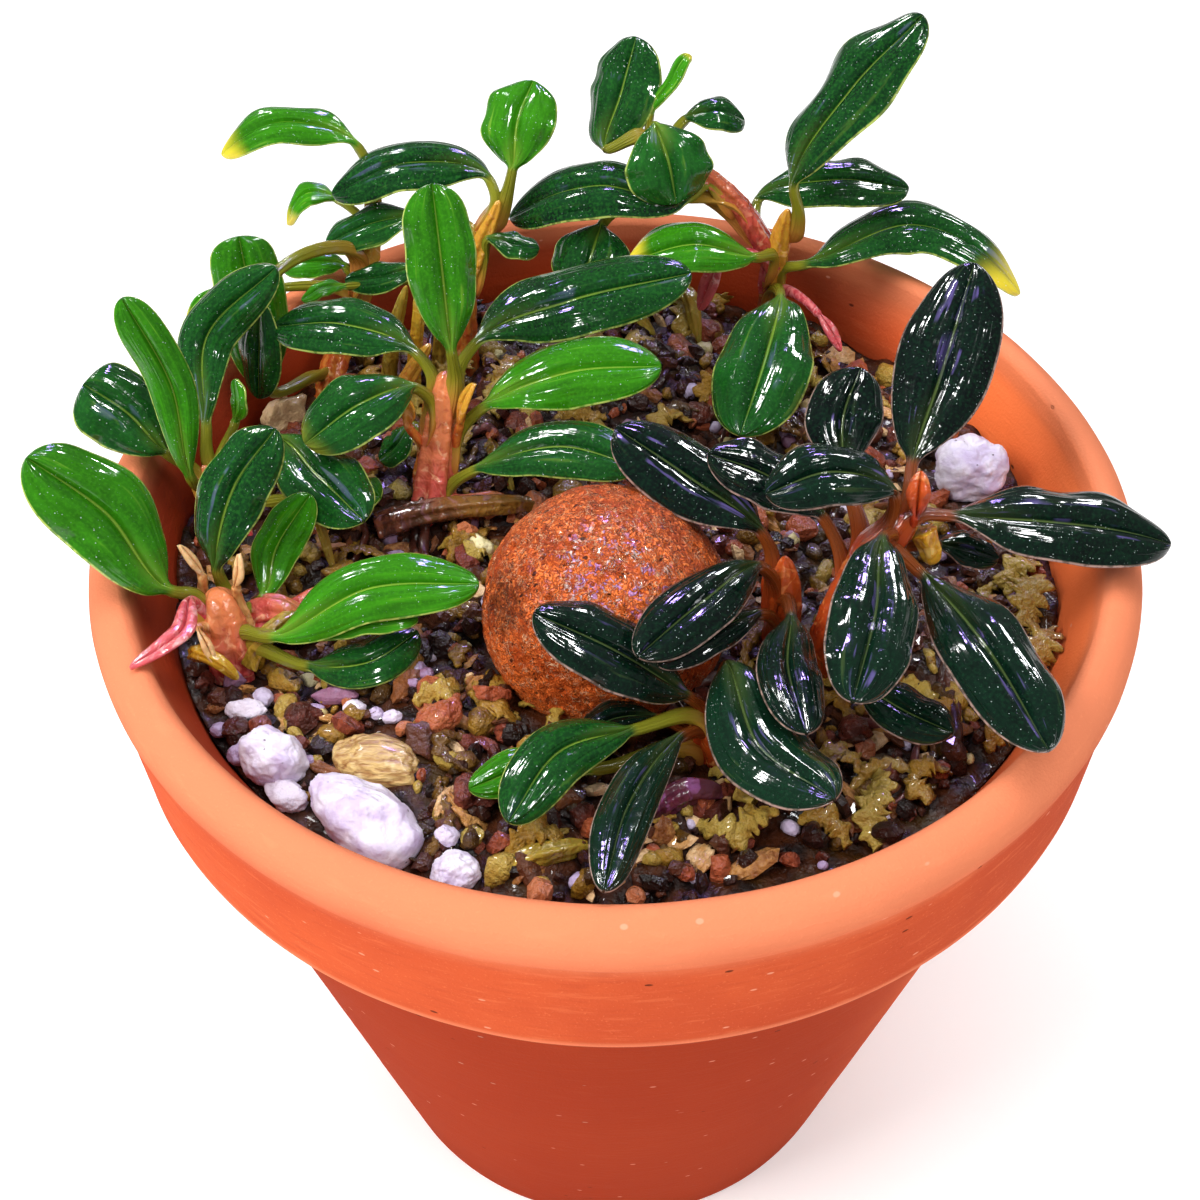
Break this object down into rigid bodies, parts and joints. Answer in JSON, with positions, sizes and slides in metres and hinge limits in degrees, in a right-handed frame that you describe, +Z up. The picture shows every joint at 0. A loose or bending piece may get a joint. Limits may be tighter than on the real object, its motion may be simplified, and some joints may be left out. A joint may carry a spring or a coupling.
{
  "type": "potted bucephalandra",
  "caption": "Clump of small aquatic plants with glossy wavy leaves, growing in wet substrate in a terracotta pot with a clay ball and pumice stones.",
  "frame": {"origin": "centre of the pot's foot, on the plane it stands on", "axes": "+Z up, -Y towards the side the picture is taken from, +X to the right there"},
  "size_m": [0.1113, 0.11, 0.135],
  "materials": {
    "terracotta": "matt unglazed, fine pits",
    "substrate": "wet crumbled soil and grit",
    "fired_clay": "porous, wet glints",
    "pumice": "rough, pale, porous",
    "bark": "wet chip",
    "pink_stem": "wet, fleshy",
    "orange_stem": "wet, fleshy",
    "red_stem": "wet, fleshy",
    "green_leaf": "wet gloss, fine pale speckle",
    "dark_leaf": "wet gloss, fine pale speckle",
    "black_leaf": "wet gloss, purple sheen, fine pale speckle"
  },
  "bodies": {
    "root": {"pot": "terracotta", "substrate": "substrate", "clay_ball": "fired_clay", "pumice_front": "pumice", "pumice_left": "pumice", "pumice_low": "pumice", "pumice_right": "pumice", "bark_chip": "bark", "stem_back": "orange_stem", "stem_back_left": "orange_stem", "stem_east": "red_stem", "stem_east_front": "red_stem", "stem_east_second": "red_stem", "stem_middle": "pink_stem", "stem_north": "orange_stem", "stem_west": "pink_stem", "stem_west_back": "pink_stem", "leaf_back_1": "green_leaf", "leaf_back_2": "green_leaf", "leaf_back_3": "dark_leaf", "leaf_back_4": "dark_leaf", "leaf_back_5": "green_leaf", "leaf_east_1": "black_leaf", "leaf_east_2": "black_leaf", "leaf_east_3": "black_leaf", "leaf_east_4": "black_leaf", "leaf_east_5": "black_leaf", "leaf_east_6": "black_leaf", "leaf_east_7": "black_leaf", "leaf_east_8": "black_leaf", "leaf_east_9": "black_leaf", "leaf_east_10": "black_leaf", "leaf_east_11": "black_leaf", "leaf_east_12": "black_leaf", "leaf_east_13": "black_leaf", "leaf_east_14": "dark_leaf", "leaf_middle_1": "green_leaf", "leaf_middle_2": "dark_leaf", "leaf_middle_3": "dark_leaf", "leaf_middle_4": "dark_leaf", "leaf_middle_5": "green_leaf", "leaf_middle_6": "dark_leaf", "leaf_north_1": "dark_leaf", "leaf_north_2": "dark_leaf", "leaf_north_3": "dark_leaf", "leaf_north_4": "dark_leaf", "leaf_north_5": "green_leaf", "leaf_north_6": "dark_leaf", "leaf_north_7": "dark_leaf", "leaf_north_8": "dark_leaf", "leaf_north_9": "dark_leaf", "leaf_west_1": "green_leaf", "leaf_west_2": "dark_leaf", "leaf_west_3": "green_leaf", "leaf_west_4": "dark_leaf", "leaf_west_5": "dark_leaf", "leaf_west_6": "green_leaf", "leaf_west_7": "dark_leaf", "leaf_west_8": "green_leaf", "leaf_west_9": "dark_leaf"}
  },
  "joints": []
}
